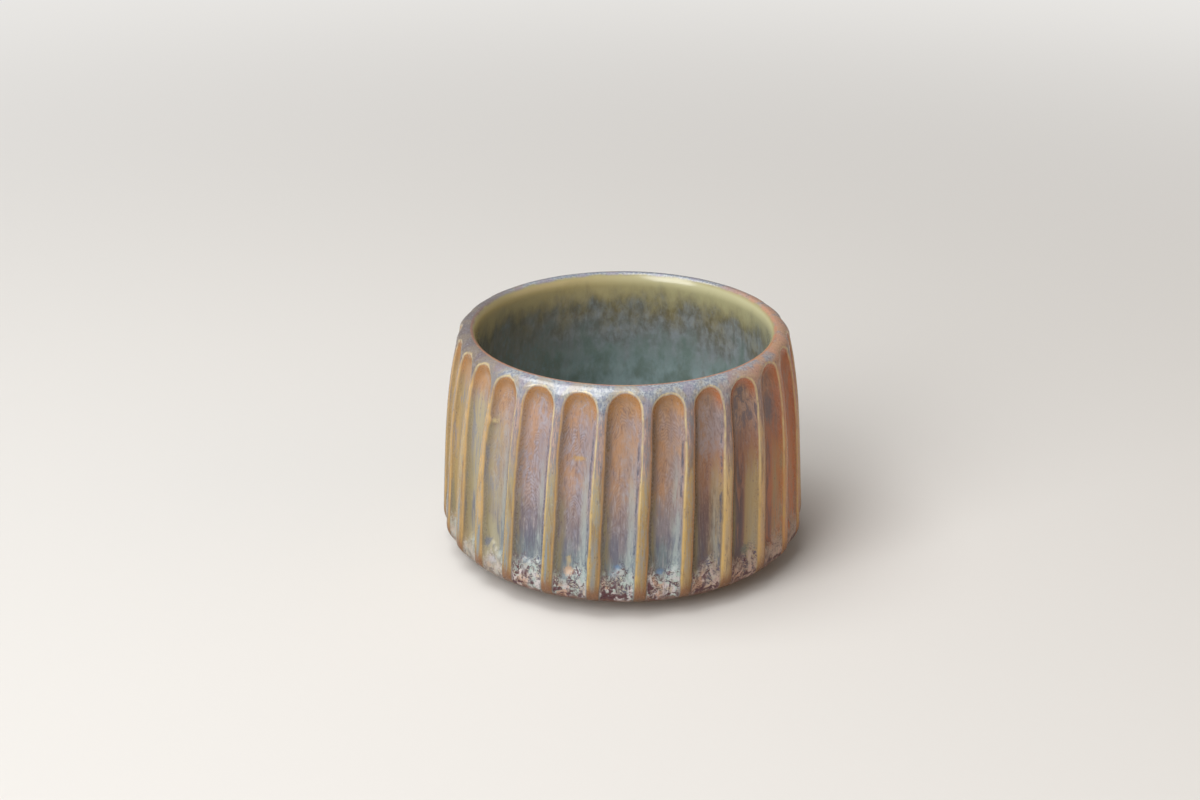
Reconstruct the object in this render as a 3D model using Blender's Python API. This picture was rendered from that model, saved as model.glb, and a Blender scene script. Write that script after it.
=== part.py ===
"""A handleless cortado cup: a thrown, fluted stoneware body under two glaze coats.

Lengths are in metres and +Z is up. The origin is the centre of the foot, on the surface that the cup
stands on. The front of the cup faces -Y, and angles round it run from the front towards +X.
"""

import math

import bmesh
import bpy

MM = 0.001

# Outside of the clay, as turned on the wheel
CLAY_HEIGHT = 51.5 * MM
RIM_RADIUS = 36.9 * MM
LIP_ROUND = 2.2 * MM        # from the rim's side in to the crest of the lip
SHOULDER_DROP = 2.1 * MM    # from the crest down to where the wall starts
BELLY_RADIUS = 41.0 * MM    # widest, just above the heel
WALL_TAPER = 2.0 * MM       # what an even taper takes off the radius from belly to rim
HEEL_RISE = 4.4 * MM        # height of the rounding under the belly
HEEL_REACH = 5.7 * MM       # width of the same rounding

# Foot ring
FOOT_HEIGHT = 3.3 * MM
FOOT_INSET = 2.3 * MM       # from the heel's rounding in to the ring
FOOT_WIDTH = 5.0 * MM
FOOT_EDGE = 0.6 * MM
RECESS_DEPTH = 3.0 * MM

# Inside of the clay
LIP_INNER_ROUND = 0.7 * MM  # from the crest in to the mouth
MOUTH_DROP = 2.0 * MM       # from the crest down to the inner side of the lip
WALL_THICKNESS = 2.8 * MM   # left behind the flutes at the widest of the well
FLOOR_THICKNESS = 5.2 * MM
CORNER_RISE = 15.8 * MM
CORNER_REACH = 14.7 * MM

# Flutes, cut down the wall with a loop tool and spaced by eye
FLUTE_COUNT = 26
FLUTE_DEPTH = 1.7 * MM
FLUTE_DROP = 0.8 * MM       # from the crest down to the top of a flute
FLUTE_END = 3.6 * MM        # height of a flute's round top
FLUTE_SQUARENESS = 2.6      # power of the curve round a flute's top, 2 for an ellipse
FLUTE_LEAN = 2.6            # degrees that the foot of a flute lies to the left of its top
RIDGE_WIDTH = 2.1 * MM      # flat left between two flutes
FIRST_RIDGE = -84.1         # degrees from the front
# Widths of the flutes across the front, left to right, next to one of the even flutes at the back
FRONT_FLUTES = (0.85, 0.85, 0.87, 0.9, 1.03, 1.03, 1.02, 0.99, 0.98, 1.05, 1.02, 1.0)

# Glaze
GLAZE_GAP = 0.3 * MM        # clearance of a coat from the clay, and of one coat from the other
GLAZE_THICKNESS = 0.7 * MM
POOL_THICKNESS = 0.8 * MM   # what the run glaze adds at the foot of a flute
POOL_RISE = 8.0 * MM        # from the heel up to where a pool thins out
BARE_HEEL = 1.3 * MM        # bare clay left on the heel's rounding, under the glaze line
LINER_THICKNESS = 0.7 * MM

# Facets
ROUND_STEPS = 52
FOLD = 0.05 * MM            # difference in climb from which a face folds the other way
PLAIN_FLUTE = (-1.0, -0.75, 0.0, 0.75, 1.0)
FINE_FLUTE = (-1.0, -0.87, -0.5, 0.0, 0.5, 0.87, 1.0)

# Sizes that follow from those above
CREST_RADIUS = RIM_RADIUS - LIP_ROUND
MOUTH_RADIUS = CREST_RADIUS - LIP_INNER_ROUND
SHOULDER = CLAY_HEIGHT - SHOULDER_DROP
BELLY = FOOT_HEIGHT + HEEL_RISE
HEEL_RADIUS = BELLY_RADIUS - HEEL_REACH
FOOT_RADIUS = HEEL_RADIUS - FOOT_INSET
SPRING = CLAY_HEIGHT - FLUTE_DROP - FLUTE_END
STRAIGHT = SPRING - 2.0 * FLUTE_END
FLOOR = RECESS_DEPTH + FLOOR_THICKNESS
WELL = FLOOR + CORNER_RISE


def unit(out, up):
    """Direction of unit length in the plane through the axis."""
    length = math.hypot(out, up)
    return out / length, up / length


def turned(height):
    """Radius of the turned outside at a height, and the direction that faces out of it there."""
    if height >= SHOULDER:
        rise = min((height - SHOULDER) / SHOULDER_DROP, 1.0)
        side = math.sqrt(1.0 - rise * rise)
        radius = CREST_RADIUS + LIP_ROUND * side
        return radius, unit(side / LIP_ROUND, rise / SHOULDER_DROP)
    if height <= BELLY:
        fall = min((BELLY - height) / HEEL_RISE, 1.0)
        side = math.sqrt(1.0 - fall * fall)
        radius = HEEL_RADIUS + HEEL_REACH * side
        return radius, unit(side / HEEL_REACH, -fall / HEEL_RISE)
    span = SHOULDER - BELLY
    share = (height - BELLY) / span
    closing = BELLY_RADIUS - WALL_TAPER - RIM_RADIUS
    radius = BELLY_RADIUS - WALL_TAPER * share - closing * share ** 4
    return radius, unit(1.0, (WALL_TAPER + 4.0 * closing * share ** 3) / span)


def ridge_angles():
    """Angles of the ridges between the flutes, one turn of them."""
    widths = [1.0] * FLUTE_COUNT
    for place, width in enumerate(FRONT_FLUTES[:FLUTE_COUNT]):
        widths[place] = width
    angles = [math.radians(FIRST_RIDGE)]
    for width in widths:
        angles.append(angles[-1] + 2.0 * math.pi * width / sum(widths))
    return angles


def columns(steps):
    """Angle of each upright line of the outside, and its place across its flute from -1 to 1."""
    half_ridge = 0.5 * RIDGE_WIDTH / BELLY_RADIUS
    lines = []
    ridges = ridge_angles()
    for left, right in zip(ridges, ridges[1:]):
        middle = 0.5 * (left + right)
        half = 0.5 * (right - left) - half_ridge
        for across in steps:
            lines.append((middle + half * across, across))
    return lines


def arched(level, across):
    """Height of a level that runs flat over the ridges and arches over the round tops of the flutes."""
    top = SPRING + FLUTE_END * (1.0 - abs(across) ** FLUTE_SQUARENESS) ** (1.0 / FLUTE_SQUARENESS)
    if level >= SPRING:
        return CLAY_HEIGHT - (CLAY_HEIGHT - level) * (CLAY_HEIGHT - top) / (CLAY_HEIGHT - SPRING)
    if level >= STRAIGHT:
        return STRAIGHT + (level - STRAIGHT) * (top - STRAIGHT) / (SPRING - STRAIGHT)
    return level


def outside_ring(lines, level, coat, pool):
    """Points of one level of the fluted outside, with a coat of glaze and pools at the flutes' feet."""
    ring = []
    for angle, across in lines:
        height = arched(level, across)
        radius, (out, up) = turned(height)
        above = max(height - SPRING, 0.0) / FLUTE_END
        reach = (abs(across) ** FLUTE_SQUARENESS + above ** FLUTE_SQUARENESS) ** (1.0 / FLUTE_SQUARENESS)
        depth = FLUTE_DEPTH * (1.0 - min(reach, 1.0) ** 3) ** 0.7
        straight_radius = radius if height > BELLY else BELLY_RADIUS
        cut = min(radius, straight_radius - depth)
        filled = max(0.0, min(1.0, (FOOT_HEIGHT + POOL_RISE - height) / (0.5 * POOL_RISE)))
        thick = coat + pool * filled * (radius - cut) / FLUTE_DEPTH
        lean = math.radians(FLUTE_LEAN) * (CLAY_HEIGHT - height) / (CLAY_HEIGHT - BELLY)
        ring.append((angle - lean, cut + thick * out, height + thick * up))
    return ring


def round_ring(start, radius, height):
    """Points of a plain circle, from the same angle as the fluted ring that it joins."""
    turn = 2.0 * math.pi / ROUND_STEPS
    return [(start + turn * step, radius, height) for step in range(ROUND_STEPS)]


def lip_levels(steps):
    """Levels from the crest down the outer rounding of the lip."""
    turn = 0.5 * math.pi / steps
    return [SHOULDER + SHOULDER_DROP * math.cos(turn * step) for step in range(steps + 1)]


def heel_levels(steps, end):
    """Levels from the belly down the rounding of the heel, to so far outside its inner edge."""
    turn = math.acos(end / HEEL_REACH) / steps
    return [BELLY - HEEL_RISE * math.sin(turn * step) for step in range(steps + 1)]


def inside_line(coat):
    """Radius and height of the inside from the crest to the floor, with a coat of glaze on it."""
    widest = turned(WELL)[0] - FLUTE_DEPTH - WALL_THICKNESS
    points = []
    for step in range(3):
        turn = 0.25 * math.pi * step
        out, up = unit(-math.sin(turn) / LIP_INNER_ROUND, math.cos(turn) / MOUTH_DROP)
        radius = CREST_RADIUS - LIP_INNER_ROUND * math.sin(turn)
        height = CLAY_HEIGHT - MOUTH_DROP * (1.0 - math.cos(turn))
        points.append((radius + coat * out, height + coat * up))
    mouth = CLAY_HEIGHT - MOUTH_DROP
    for step in range(1, 4):
        share = 1.0 - step / 4.0
        radius = widest - (widest - MOUTH_RADIUS) * share * share
        out, up = unit(-1.0, -2.0 * (widest - MOUTH_RADIUS) * share / (mouth - WELL))
        points.append((radius + coat * out, WELL + (mouth - WELL) * share + coat * up))
    for step in range(5):
        turn = 0.125 * math.pi * step
        out, up = unit(-math.cos(turn) / CORNER_REACH, math.sin(turn) / CORNER_RISE)
        radius = widest - CORNER_REACH * (1.0 - math.cos(turn))
        height = WELL - CORNER_RISE * math.sin(turn)
        points.append((radius + coat * out, height + coat * up))
    return points


def climb(spots, place):
    """Rise of a ring from one of its points to the next, or 0 where it falls."""
    return max(spots[place + 1].co.z - spots[place].co.z, 0.0)


def bridge(mesh, upper, lower):
    """Close the band between two rings, which may differ in their number of points."""
    full = 2.0 * math.pi
    upper_spots = [spot for spot, angle in upper] + [upper[0][0]]
    lower_spots = [spot for spot, angle in lower] + [lower[0][0]]
    upper_turns = [angle - upper[0][1] for spot, angle in upper] + [full]
    lower_turns = [angle - lower[0][1] for spot, angle in lower] + [full]
    paired = len(upper) == len(lower)
    one = two = 0
    while one < len(upper) or two < len(lower):
        here = upper_spots[one]
        there = lower_spots[two]
        upper_next = one < len(upper)
        if upper_next and two < len(lower):
            upper_next = upper_turns[one + 1] <= lower_turns[two + 1] + 1e-9
            # up the left side of a flute's round top, a face folds along the line that climbs less
            if paired and one == two and climb(lower_spots, two) > climb(upper_spots, one) + FOLD:
                upper_next = False
        if upper_next:
            one += 1
            mesh.faces.new((here, upper_spots[one], there))
        else:
            two += 1
            mesh.faces.new((here, lower_spots[two], there))


def add_piece(name, data, material):
    """Put a finished mesh in the scene as a named piece of the cup."""
    piece = bpy.data.objects.new(name, data)
    piece.data.materials.append(material)
    piece.parent = cup
    bpy.context.scene.collection.objects.link(piece)
    return piece


def loft(name, rings, material, hollow):
    """Solid through a row of rings: a hollow one joins its last ring to its first, others are capped."""
    mesh = bmesh.new()
    loops = []
    for ring in rings:
        loop = []
        for angle, radius, height in ring:
            spot = (radius * math.sin(angle), -radius * math.cos(angle), height)
            loop.append((mesh.verts.new(spot), angle))
        loops.append(loop)
    for upper, lower in zip(loops, loops[1:]):
        bridge(mesh, upper, lower)
    if hollow:
        bridge(mesh, loops[-1], loops[0])
    else:
        mesh.faces.new([corner for corner, angle in loops[0]])
        mesh.faces.new([corner for corner, angle in loops[-1]])
    bmesh.ops.recalc_face_normals(mesh, faces=mesh.faces)
    data = bpy.data.meshes.new(name)
    mesh.to_mesh(data)
    mesh.free()
    return add_piece(name, data, material)


def revolve(name, outline, steps, material):
    """Solid turned about the axis from an outline that starts and ends on it."""
    data = bpy.data.meshes.new(name)
    spots = [(radius, 0.0, height) for radius, height in outline]
    data.from_pydata(spots, [(spot, spot + 1) for spot in range(len(spots) - 1)], [])
    piece = add_piece(name, data, material)
    screw = piece.modifiers.new("turned", "SCREW")
    screw.axis = "Z"
    screw.steps = steps
    screw.render_steps = steps
    screw.use_merge_vertices = True
    screw.merge_threshold = 0.00001
    return piece


def finish(name, colour, roughness, coat):
    """Material of one piece, with a clear coat where glass lies over it."""
    material = bpy.data.materials.new(name)
    material.use_nodes = True
    shader = material.node_tree.nodes["Principled BSDF"]
    shader.inputs["Base Color"].default_value = (*colour, 1.0)
    shader.inputs["Roughness"].default_value = roughness
    shader.inputs["Coat Weight"].default_value = coat
    shader.inputs["Coat Roughness"].default_value = 0.15
    return material


for leftover in list(bpy.data.objects):
    bpy.data.objects.remove(leftover)
cup = bpy.data.objects.new("cortado_cup", None)
bpy.context.scene.collection.objects.link(cup)

# Clay body, lofted from the floor of the well over the lip, down the flutes and round the foot ring
plain = columns(PLAIN_FLUTE)
wall_levels = [SPRING, SPRING - 0.6 * FLUTE_END, STRAIGHT, BELLY + 0.35 * (STRAIGHT - BELLY)]
plain_levels = lip_levels(2) + wall_levels
clay_outside = [outside_ring(plain, level, 0.0, 0.0) for level in plain_levels + heel_levels(3, 0.0)]
crest_start = clay_outside[0][0][0]
heel_start = clay_outside[-1][0][0]
clay_inside = [round_ring(crest_start, radius, height) for radius, height in inside_line(0.0)[1:]]
foot_inner = FOOT_RADIUS - FOOT_WIDTH
foot_line = [
    (FOOT_RADIUS, FOOT_HEIGHT),
    (FOOT_RADIUS, FOOT_EDGE),
    (FOOT_RADIUS - FOOT_EDGE, 0.0),
    (foot_inner + FOOT_EDGE, 0.0),
    (foot_inner, FOOT_EDGE),
    (foot_inner, RECESS_DEPTH),
]
foot = [round_ring(heel_start, radius, height) for radius, height in foot_line]
clay = finish("bare stoneware", (0.36, 0.24, 0.15), 0.8, 0.0)
loft("stoneware_body", clay_inside[::-1] + clay_outside + foot, clay, False)

# Outer glaze, a coat from the crest over the flutes to the glaze line, pooled in the foot of each flute
fine = columns(FINE_FLUTE)
fine_levels = lip_levels(3) + [SPRING, SPRING - 0.35 * FLUTE_END, SPRING - 0.9 * FLUTE_END, STRAIGHT]
fine_levels += [BELLY + share * (STRAIGHT - BELLY) for share in (0.55, 0.1)]
glazed_heel = heel_levels(3, BARE_HEEL)
full_coat = GLAZE_GAP + GLAZE_THICKNESS
glaze_face = [outside_ring(fine, level, full_coat, POOL_THICKNESS) for level in fine_levels + glazed_heel]
glaze_back = [outside_ring(plain, level, GLAZE_GAP, 0.0) for level in plain_levels + glazed_heel]
outer = finish("outer glaze", (0.33, 0.26, 0.19), 0.3, 0.6)
loft("outer_glaze", glaze_face + glaze_back[::-1], outer, True)

# Liner glaze, a turned coat from beside the crest down the well and over the floor
liner_face = inside_line(GLAZE_GAP + LINER_THICKNESS)
liner_back = inside_line(GLAZE_GAP)
liner_face[0] = (CREST_RADIUS - GLAZE_GAP, liner_face[0][1])
liner_back[0] = (CREST_RADIUS - GLAZE_GAP, liner_back[0][1])
liner_outline = [(0.0, liner_face[-1][1])] + liner_face[::-1] + liner_back + [(0.0, liner_back[-1][1])]
liner = finish("liner glaze", (0.13, 0.14, 0.11), 0.15, 0.8)
revolve("liner_glaze", liner_outline, ROUND_STEPS, liner)
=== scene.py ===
"""A fluted stoneware cortado cup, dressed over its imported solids."""

import math

import bmesh
import bpy
import numpy as np
from mathutils import Matrix, Vector


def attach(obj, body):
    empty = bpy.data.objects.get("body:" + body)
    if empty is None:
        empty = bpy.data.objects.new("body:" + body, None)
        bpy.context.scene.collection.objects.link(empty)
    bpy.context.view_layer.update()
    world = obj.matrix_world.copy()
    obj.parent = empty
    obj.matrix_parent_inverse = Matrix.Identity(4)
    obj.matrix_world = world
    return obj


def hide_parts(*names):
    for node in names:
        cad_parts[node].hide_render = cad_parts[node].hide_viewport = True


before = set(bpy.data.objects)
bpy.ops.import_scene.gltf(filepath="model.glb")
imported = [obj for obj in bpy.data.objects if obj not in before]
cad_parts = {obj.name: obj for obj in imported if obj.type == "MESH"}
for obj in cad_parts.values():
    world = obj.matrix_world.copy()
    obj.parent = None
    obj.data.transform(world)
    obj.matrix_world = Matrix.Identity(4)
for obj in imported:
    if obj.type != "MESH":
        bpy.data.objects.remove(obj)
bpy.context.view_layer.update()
scene = bpy.context.scene

# Stoneware body
# One lump of buff, iron-speckled clay, thrown on the wheel, trimmed upside down to leave a foot ring,
# then carved all round with a loop tool. The foot and the strip under the heel stay bare.
MM = 0.001
CLAY_HEIGHT = 51.5
RIM_RADIUS = 36.9
LIP_ROUND = 2.2
LIP_DROP = 2.1
BELLY_RADIUS = 41.0
WALL_TAPER = 2.0
HEEL_RISE = 4.4
HEEL_REACH = 5.7
BARE_HEEL = 1.3
SHOULDER = CLAY_HEIGHT - LIP_DROP
FOOT_HEIGHT = 3.3
BELLY = FOOT_HEIGHT + HEEL_RISE
HEEL_RADIUS = BELLY_RADIUS - HEEL_REACH
WALL_CLOSING = BELLY_RADIUS - WALL_TAPER - RIM_RADIUS

FLUTES = 26
FLUTE_DEPTH = 1.9
FLUTE_ARCH = 4.6
ARCH_SQUARENESS = 2.4
FLUTE_SPRING = CLAY_HEIGHT - 0.1 - FLUTE_ARCH
FLUTE_STRAIGHT = FLUTE_SPRING - 2.0 * FLUTE_ARCH
FLUTE_LEAN = 2.6
RIDGE_TOP = 2.0
RIDGE_FOOT = 2.4
FIRST_RIDGE = -84.1
FRONT_FLUTES = (0.85, 0.85, 0.87, 0.9, 1.03, 1.03, 1.02, 0.99, 0.98, 1.05, 1.02, 1.0)
FLUTE_FULLNESS = 3.3
HEEL_RUN_OUT = 0.7
POOL_FRONT = 10.6
COLUMN_CROWDING = 0.25
NARROW_RIDGES = (-40.0, -47.0)
BROAD_RIDGE = (-66.0, -55.0)
MOVED_RIDGE = (-52.0, -44.0)
RESTARTED_EDGE = (-50.0, -46.0)
RESTART_HEIGHT = (40.2, 41.0)


class Measure:
    """A number at every point of a piece. Plain sums on it lay down the maths nodes of a tree."""

    def __init__(self, bench, socket):
        self.bench = bench
        self.socket = socket

    def by(self, operation, *others):
        return self.bench.sum(operation, self, *others)

    def __add__(self, other):
        return self.by("ADD", other)

    def __radd__(self, other):
        return self.by("ADD", other)

    def __sub__(self, other):
        return self.by("SUBTRACT", other)

    def __rsub__(self, other):
        return self.bench.sum("SUBTRACT", other, self)

    def __mul__(self, other):
        return self.by("MULTIPLY", other)

    def __truediv__(self, other):
        return self.by("DIVIDE", other)

    def __pow__(self, power):
        return self.by("POWER", power)

    def __abs__(self):
        return self.by("ABSOLUTE")

    def root(self):
        return self.by("MAXIMUM", 0.0).by("SQRT")

    def held(self, low=0.0, high=1.0):
        return self.by("MAXIMUM", low).by("MINIMUM", high)


class Bench:
    """One node tree, with the few moves that the cup's rules and glazes are made of."""

    def __init__(self, tree):
        self.tree = tree

    def node(self, kind, **settings):
        node = self.tree.nodes.new(kind)
        for name, value in settings.items():
            setattr(node, name, value)
        return node

    def feed(self, socket, value):
        value = getattr(value, "socket", value)
        if isinstance(value, bpy.types.NodeSocket):
            self.tree.links.new(value, socket)
        else:
            socket.default_value = value

    def sum(self, operation, *values):
        node = self.node("ShaderNodeMath", operation=operation)
        for socket, value in zip(node.inputs, values):
            self.feed(socket, value)
        return Measure(self, node.outputs[0])

    def vector(self, operation, *values):
        node = self.node("ShaderNodeVectorMath", operation=operation)
        for socket, value in zip(node.inputs, values):
            self.feed(socket, value)
        return node.outputs[0]

    def joined(self, *parts):
        node = self.node("ShaderNodeCombineXYZ")
        for socket, value in zip(node.inputs, parts):
            self.feed(socket, value)
        return node.outputs[0]

    def parted(self, vector):
        node = self.node("ShaderNodeSeparateXYZ")
        self.feed(node.inputs[0], vector)
        return [Measure(self, socket) for socket in node.outputs]

    def ramp(self, value, low, high):
        """Eases from 0 at low to 1 at high, also where low is the greater."""
        node = self.node("ShaderNodeMapRange", interpolation_type="SMOOTHSTEP")
        self.feed(node.inputs["Value"], value)
        self.feed(node.inputs["From Min"], low)
        self.feed(node.inputs["From Max"], high)
        return Measure(self, node.outputs["Result"])

    def band(self, value, low, high, soft):
        """About 1 between low and high, with soft ends."""
        return self.ramp(value, low - soft, low + soft) * self.ramp(value, high + soft, high - soft)

    def mottle(self, place, size, upright=1.0, detail=3.0, rough=0.55, twist=0.0):
        """Cloudy noise with lumps of one size, in millimetres, drawn out upright where that is under 1."""
        node = self.node("ShaderNodeTexNoise")
        self.feed(node.inputs["Vector"], self.vector("MULTIPLY", place, (1.0, 1.0, upright)))
        self.feed(node.inputs["Scale"], 1.0 / size)
        self.feed(node.inputs["Detail"], detail)
        self.feed(node.inputs["Roughness"], rough)
        self.feed(node.inputs["Distortion"], twist)
        return Measure(self, node.outputs[0])

    def number(self, name):
        """A number that the points of a piece carry under this name."""
        if self.tree.type == "GEOMETRY":
            node = self.node("GeometryNodeInputNamedAttribute", data_type="FLOAT")
            node.inputs["Name"].default_value = name
            return Measure(self, node.outputs["Attribute"])
        return Measure(self, self.node("ShaderNodeAttribute", attribute_name=name).outputs["Fac"])

    def place(self):
        """Where a point of the piece is, in millimetres."""
        where = self.node("ShaderNodeTexCoord").outputs["Object"]
        node = self.node("ShaderNodeVectorMath", operation="SCALE")
        self.feed(node.inputs[0], where)
        node.inputs["Scale"].default_value = 1.0 / MM
        return node.outputs[0]

    def paint(self, under, over, share):
        """One colour laid over another in this share."""
        node = self.node("ShaderNodeMix", data_type="RGBA")
        self.feed(node.inputs[0], share)
        self.feed(node.inputs[6], under)
        self.feed(node.inputs[7], over)
        return node.outputs[2]

    def flecks(self, place, size, upright, share):
        """Small round spots, one in each cell of the given size, shown only in that share of the cells."""
        node = self.node("ShaderNodeTexVoronoi", feature="F1")
        self.feed(node.inputs["Vector"], self.vector("MULTIPLY", place, (1.0, 1.0, upright)))
        self.feed(node.inputs["Scale"], 1.0 / size)
        chosen = self.parted(node.outputs["Color"])
        spot = self.ramp(Measure(self, node.outputs["Distance"]), 0.12 + chosen[1] * 0.3, 0.05)
        return spot * self.ramp(chosen[0], share, share * 0.9)

    def cells(self, place, size, drift_scale=0.9, drift_reach=2.2):
        """Uneven cells of the given size: a lot drawn for each, and how far a point is from its wall."""
        noise = self.node("ShaderNodeTexNoise")
        self.feed(noise.inputs["Vector"], place)
        noise.inputs["Scale"].default_value = drift_scale
        drift = self.vector("SUBTRACT", noise.outputs["Color"], (0.5, 0.5, 0.5))
        drift = self.vector("MULTIPLY_ADD", drift, (drift_reach,) * 3, place)
        found = []
        for feature in ("F1", "DISTANCE_TO_EDGE"):
            node = self.node("ShaderNodeTexVoronoi", feature=feature)
            self.feed(node.inputs["Vector"], drift)
            node.inputs["Scale"].default_value = 1.0 / size
            found.append(node)
        return self.parted(found[0].outputs["Color"])[0], Measure(self, found[1].outputs["Distance"])

    def daub(self, place, where, wide, tall, ragged):
        """One soft-edged daub of this size, in millimetres, with its outline broken by the given noise."""
        away = self.vector("SUBTRACT", place, where)
        x, y, z = self.parted(self.vector("DIVIDE", away, (wide, wide, tall)))
        return self.ramp((x * x + y * y + z * z).root() + (ragged - 0.5) * 1.6, 1.0, 0.3)


def fired(red, green, blue):
    """A colour as read off a fired tile, 0 to 255, turned into the values that a shader takes."""
    shares = [value / 255 for value in (red, green, blue)]
    linear = [s / 12.92 if s <= 0.04045 else ((s + 0.055) / 1.055) ** 2.4 for s in shares]
    return (*linear, 1.0)


SETTING_OUT = ("turn", "radius", "level", "coat", "carved")
MAP_MARGIN = 0.004
MAP_WIDE = 0.992
MAP_TALL = 0.49


def thrown(name, rows, columns):
    """A form turned from rows of (radius, height, coat, carved), closed round and end to end."""
    radius, height, coat, carved = (np.array(column, float) for column in zip(*rows))
    poles = radius < 1e-6
    counts = np.where(poles, 1, columns)
    starts = np.cumsum(counts) - counts
    turn = np.concatenate([[0.0] if pole else np.arange(columns) * FLUTES / columns for pole in poles])
    which = np.repeat(np.arange(len(rows)), counts)
    angle = np.radians(FIRST_RIDGE + 360.0 * turn / FLUTES)
    points = np.stack([radius[which] * np.sin(angle), -radius[which] * np.cos(angle), height[which]], 1)
    faces = []
    corners = []
    last = len(rows) if not poles.any() else len(rows) - 1
    for row in range(last):
        after = (row + 1) % len(rows)
        for column in range(columns):
            onward = (column + 1) % columns
            half, step = divmod(column, columns // 2)
            left = MAP_MARGIN + MAP_WIDE * step / (columns // 2)
            right = MAP_MARGIN + MAP_WIDE * (step + 1) / (columns // 2)
            low = 0.5 * half + MAP_MARGIN + MAP_TALL * row / last
            high = 0.5 * half + MAP_MARGIN + MAP_TALL * (row + 1) / last
            ring = [
                (starts[row] + (0 if poles[row] else column), left, low),
                (starts[row] + (0 if poles[row] else onward), right, low),
                (starts[after] + (0 if poles[after] else onward), right, high),
                (starts[after] + (0 if poles[after] else column), left, high),
            ]
            if poles[row]:
                ring.pop(1)
            elif poles[after]:
                ring.pop(2)
            faces.append([corner[0] for corner in ring])
            corners.extend(corner[1:] for corner in ring)
    mesh = bpy.data.meshes.new(name)
    mesh.from_pydata((points * MM).tolist(), [], faces)
    mesh.uv_layers.new(name="OFBake").uv.foreach_set("vector", np.array(corners, np.float32).ravel())
    values = (turn, radius[which], height[which], coat[which], carved[which])
    for label, value in zip(SETTING_OUT, values):
        mesh.attributes.new(label, "FLOAT", "POINT").data.foreach_set("value", value.astype(np.float32))
    piece = bpy.data.objects.new(name, mesh)
    scene.collection.objects.link(piece)
    return piece


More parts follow.
